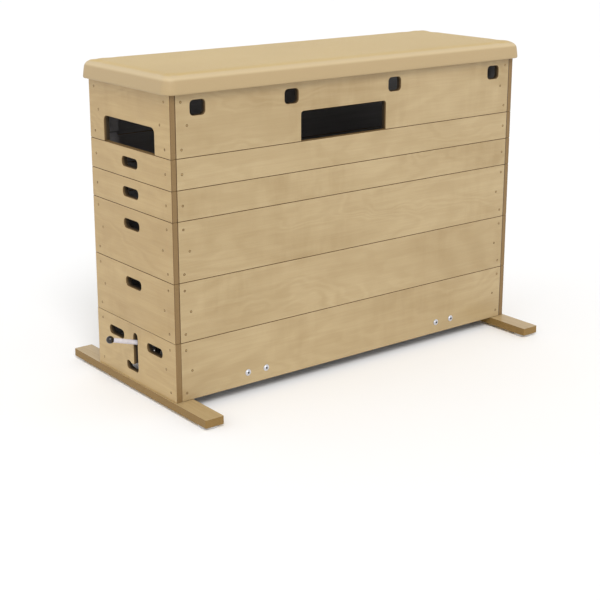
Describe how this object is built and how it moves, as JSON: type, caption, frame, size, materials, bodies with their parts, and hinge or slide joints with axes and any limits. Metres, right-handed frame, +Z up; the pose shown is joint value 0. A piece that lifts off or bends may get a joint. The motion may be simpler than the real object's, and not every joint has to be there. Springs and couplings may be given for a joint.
{
  "type": "vaulting box",
  "caption": "Wooden vaulting box in loose stacked sections with a padded top, cross-wise skids and a lever-operated castor base.",
  "frame": {"origin": "bottom centre of the overall box, on the floor, hand lever included", "axes": "+X along the box, away from the lever end; +Y across it, towards the rear long side; +Z up"},
  "size_m": [1.633, 0.85, 1.1002],
  "materials": {
    "plywood": "clear satin lacquer",
    "beech": "oiled",
    "leather": "smooth, slightly glossy",
    "foam": "open cell foam",
    "steel": "zinc plated",
    "spring": "oiled spring wire",
    "plastic": "gloss black",
    "foot_rubber": "matte grey",
    "tyre": "matte grey"
  },
  "bodies": {
    "base": {"base_lever_end": "plywood", "base_plain_end": "plywood", "base_front": "plywood", "base_rear": "plywood", "base_post_lever_end_front": "plywood", "base_post_lever_end_rear": "plywood", "base_post_plain_end_front": "plywood", "base_post_plain_end_rear": "plywood", "skid_lever_end": "beech", "skid_plain_end": "beech", "foot_lever_end_front": "foot_rubber", "foot_lever_end_rear": "foot_rubber", "foot_plain_end_front": "foot_rubber", "foot_plain_end_rear": "foot_rubber", "bearing_lever_end_front": "steel", "bearing_lever_end_rear": "steel", "bearing_plain_end_front": "steel", "bearing_plain_end_rear": "steel", "return_spring_front": "spring", "return_spring_rear": "spring"},
    "lever_shaft": {"shaft_lever_end": "steel", "hand_lever": "steel", "lever_pin": "spring", "lever_knob": "plastic"},
    "plain_shaft": {"shaft_plain_end": "steel"},
    "link": {"link_rod": "steel"},
    "castor_lever_end_front": {"castor_fork_lever_end_front": "steel"},
    "wheel_lever_end_front": {"castor_wheel_lever_end_front": "tyre"},
    "castor_lever_end_rear": {"castor_fork_lever_end_rear": "steel"},
    "wheel_lever_end_rear": {"castor_wheel_lever_end_rear": "tyre"},
    "castor_plain_end_front": {"castor_fork_plain_end_front": "steel"},
    "wheel_plain_end_front": {"castor_wheel_plain_end_front": "tyre"},
    "castor_plain_end_rear": {"castor_fork_plain_end_rear": "steel"},
    "wheel_plain_end_rear": {"castor_wheel_plain_end_rear": "tyre"},
    "section_2": {"section_2_lever_end": "plywood", "section_2_plain_end": "plywood", "section_2_front": "plywood", "section_2_rear": "plywood"},
    "section_3": {"section_3_lever_end": "plywood", "section_3_plain_end": "plywood", "section_3_front": "plywood", "section_3_rear": "plywood"},
    "section_4": {"section_4_lever_end": "plywood", "section_4_plain_end": "plywood", "section_4_front": "plywood", "section_4_rear": "plywood"},
    "section_5": {"section_5_lever_end": "plywood", "section_5_plain_end": "plywood", "section_5_front": "plywood", "section_5_rear": "plywood"},
    "top": {"top_lever_end": "plywood", "top_plain_end": "plywood", "top_front": "plywood", "top_rear": "plywood", "top_post_lever_end_front": "plywood", "top_post_plain_end_front": "plywood", "lid_board": "plywood", "lid_foam": "foam", "lid_cover": "leather"}
  },
  "joints": [
    {"name": "hand_lever", "type": "hinge", "parent": "base", "child": "lever_shaft", "pos_m": [-0.3875, 0, 0.079], "axis": [0, -1, 0], "range_deg": [0, 17], "stiffness_Nm_per_rad": 12, "springref_deg": -57.3, "deforming": ["return_spring_front", "return_spring_rear"]},
    {"name": "plain_shaft", "type": "hinge", "parent": "base", "child": "plain_shaft", "pos_m": [0.4725, 0, 0.079], "axis": [0, -1, 0], "range_deg": [-17, 0]},
    {"name": "link_rod", "type": "hinge", "parent": "lever_shaft", "child": "link", "pos_m": [-0.38307, 0.0445, 0.10867], "axis": [0, -1, 0], "range_deg": [-17, 0]},
    {"name": "swivel_lever_end_front", "type": "hinge", "parent": "lever_shaft", "child": "castor_lever_end_front", "pos_m": [-0.46884, -0.145, 0.09341], "axis": [0.2924, 0, 0.9563], "continuous": true},
    {"name": "roll_lever_end_front", "type": "hinge", "parent": "castor_lever_end_front", "child": "wheel_lever_end_front", "pos_m": [-0.50635, -0.145, 0.05625], "axis": [0, 1, 0], "continuous": true},
    {"name": "swivel_lever_end_rear", "type": "hinge", "parent": "lever_shaft", "child": "castor_lever_end_rear", "pos_m": [-0.46884, 0.145, 0.09341], "axis": [0.2924, 0, 0.9563], "continuous": true},
    {"name": "roll_lever_end_rear", "type": "hinge", "parent": "castor_lever_end_rear", "child": "wheel_lever_end_rear", "pos_m": [-0.50635, 0.145, 0.05625], "axis": [0, 1, 0], "continuous": true},
    {"name": "swivel_plain_end_front", "type": "hinge", "parent": "plain_shaft", "child": "castor_plain_end_front", "pos_m": [0.55384, -0.145, 0.09341], "axis": [-0.2924, 0, 0.9563], "continuous": true},
    {"name": "roll_plain_end_front", "type": "hinge", "parent": "castor_plain_end_front", "child": "wheel_plain_end_front", "pos_m": [0.59134, -0.145, 0.05625], "axis": [0, 1, 0], "continuous": true},
    {"name": "swivel_plain_end_rear", "type": "hinge", "parent": "plain_shaft", "child": "castor_plain_end_rear", "pos_m": [0.55384, 0.145, 0.09341], "axis": [-0.2924, 0, 0.9563], "continuous": true},
    {"name": "roll_plain_end_rear", "type": "hinge", "parent": "castor_plain_end_rear", "child": "wheel_plain_end_rear", "pos_m": [0.59134, 0.145, 0.05625], "axis": [0, 1, 0], "continuous": true},
    {"name": "lift_section_2", "type": "slide", "parent": "base", "child": "section_2", "axis": [0, 0, 1], "range_m": [0, 0.15]},
    {"name": "lift_section_3", "type": "slide", "parent": "section_2", "child": "section_3", "axis": [0, 0, 1], "range_m": [0, 0.15]},
    {"name": "lift_section_4", "type": "slide", "parent": "section_3", "child": "section_4", "axis": [0, 0, 1], "range_m": [0, 0.15]},
    {"name": "lift_section_5", "type": "slide", "parent": "section_4", "child": "section_5", "axis": [0, 0, 1], "range_m": [0, 0.15]},
    {"name": "lift_top", "type": "slide", "parent": "section_5", "child": "top", "axis": [0, 0, 1], "range_m": [0, 0.15]}
  ],
  "couplings": [
    {"joint": "plain_shaft", "follows": "hand_lever", "ratio": -1},
    {"joint": "link_rod", "follows": "hand_lever", "ratio": -1}
  ]
}
